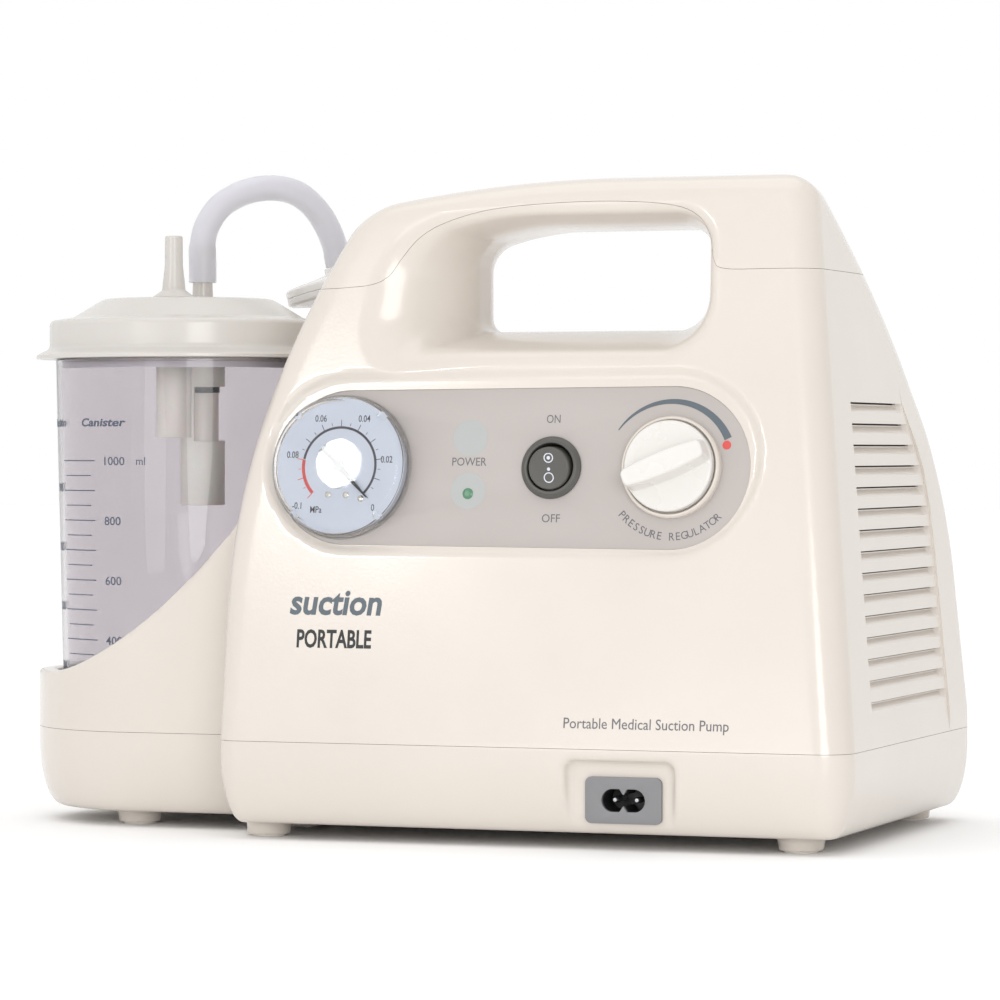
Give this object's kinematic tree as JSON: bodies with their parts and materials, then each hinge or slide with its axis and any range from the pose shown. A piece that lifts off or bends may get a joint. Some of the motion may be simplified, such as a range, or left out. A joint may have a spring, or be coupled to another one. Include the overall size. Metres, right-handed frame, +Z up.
{
  "type": "portable suction pump",
  "caption": "Portable medical suction pump: moulded housing with a carry handle, a vacuum gauge, switch and regulator on a front panel, and a clear canister with a hose in a side cradle.",
  "frame": {"origin": "on the floor under the middle of the pump's box, its hose and filter left out", "axes": "+X to the pump's right as seen from the front, -Y out of the control panel, +Z up"},
  "size_m": [0.367, 0.2, 0.2642],
  "materials": {
    "housing_plastic": "warm ivory, smooth gloss moulding",
    "panel_film": "taupe printed panel, satin",
    "white_plastic": "off-white satin moulding",
    "clear_plastic": "clear moulded plastic with a slight lilac tint",
    "silicone": "milky translucent silicone",
    "filter_paper": "white fibrous membrane",
    "dark_plastic": "dark grey satin",
    "grey_plastic": "mid grey satin",
    "dial_print": "pale blue-white printed dial",
    "black_paint": "matt black",
    "lamp_lens": "pale green tinted lens",
    "circuit_board": "green solder mask",
    "rubber": "black moulded rubber",
    "steel": "plated steel",
    "laminated_steel": "varnished laminations",
    "copper": "enamelled copper wire",
    "brass": "turned brass",
    "cast_aluminium": "die-cast, satin",
    "wire_cover": "brown insulation"
  },
  "bodies": {
    "housing": {"base_tray": "housing_plastic", "foot_pads": "rubber", "front_shell": "housing_plastic", "rear_shell": "housing_plastic", "top_cover": "housing_plastic", "canister_cradle": "housing_plastic", "control_panel": "panel_film", "gauge_case": "dark_plastic", "gauge_movement": "brass", "gauge_dial": "dial_print", "gauge_screws": "steel", "gauge_lens": "clear_plastic", "power_lamp": "lamp_lens", "lamp_board": "circuit_board", "switch_body": "dark_plastic", "switch_tabs": "steel", "regulator_ring": "housing_plastic", "regulator_valve": "brass", "regulator_nut": "steel", "mains_inlet": "grey_plastic", "inlet_pins": "steel", "suction_port": "white_plastic", "motor_stator": "laminated_steel", "motor_coils": "copper", "motor_brackets": "steel", "motor_bolts": "steel", "shaft_bearings": "brass", "diaphragm": "rubber", "crankcase": "cast_aluminium", "pump_chamber": "cast_aluminium", "valve_plate": "steel", "pump_head": "cast_aluminium", "pump_screws": "steel", "mounting_plate": "steel", "vibration_mounts": "rubber", "exhaust_muffler": "dark_plastic", "air_tubes": "silicone", "mains_wiring": "wire_cover", "housing_screws": "steel"},
    "rocker": {"switch_rocker": "dark_plastic"},
    "knob": {"regulator_knob": "white_plastic", "regulator_stem": "brass"},
    "pointer": {"gauge_pointer": "black_paint"},
    "canister": {"canister": "clear_plastic"},
    "lid": {"canister_lid": "white_plastic", "lid_seal": "silicone", "patient_tube": "white_plastic", "float_cage": "white_plastic", "suction_hose": "silicone", "filter_top": "white_plastic", "filter_base": "white_plastic", "filter_membrane": "filter_paper"},
    "float": {"float_body": "white_plastic", "float_seal": "rubber"},
    "rotor": {"rotor_core": "steel", "rotor_shaft": "steel", "fan_wheel": "dark_plastic", "eccentric": "brass"},
    "rod": {"connecting_rod": "cast_aluminium"}
  },
  "joints": [
    {"name": "rocker_tilt", "type": "hinge", "parent": "housing", "child": "rocker", "pos_m": [0.0633, -0.08319, 0.14322], "axis": [1, 0, 0], "range_deg": [-24, 0]},
    {"name": "knob_turn", "type": "hinge", "parent": "housing", "child": "knob", "pos_m": [0.1115, -0.08517, 0.1435], "axis": [0, -0.9903, 0.1392], "range_deg": [0, 124]},
    {"name": "pointer_swing", "type": "hinge", "parent": "housing", "child": "pointer", "pos_m": [-0.0215, -0.08517, 0.1435], "axis": [0, -0.9903, 0.1392], "range_deg": [0, 270], "stiffness_Nm_per_rad": 0.0005},
    {"name": "canister_lift", "type": "slide", "parent": "housing", "child": "canister", "axis": [0, 0, 1], "range_m": [0, 0.11]},
    {"name": "lid_lift", "type": "slide", "parent": "canister", "child": "lid", "axis": [0, 0, 1], "range_m": [0, 0.07]},
    {"name": "float_rise", "type": "slide", "parent": "lid", "child": "float", "axis": [0, 0, 1], "range_m": [0, 0.01]},
    {"name": "rotor_spin", "type": "hinge", "parent": "housing", "child": "rotor", "pos_m": [0.1, 0.025, 0.08], "axis": [1, 0, 0], "continuous": true},
    {"name": "rod_follow", "type": "hinge", "parent": "rotor", "child": "rod", "pos_m": [0.05, 0.025, 0.0825], "axis": [1, 0, 0], "continuous": true}
  ],
  "couplings": [
    {"joint": "rod_follow", "follows": "rotor_spin", "ratio": -1}
  ]
}
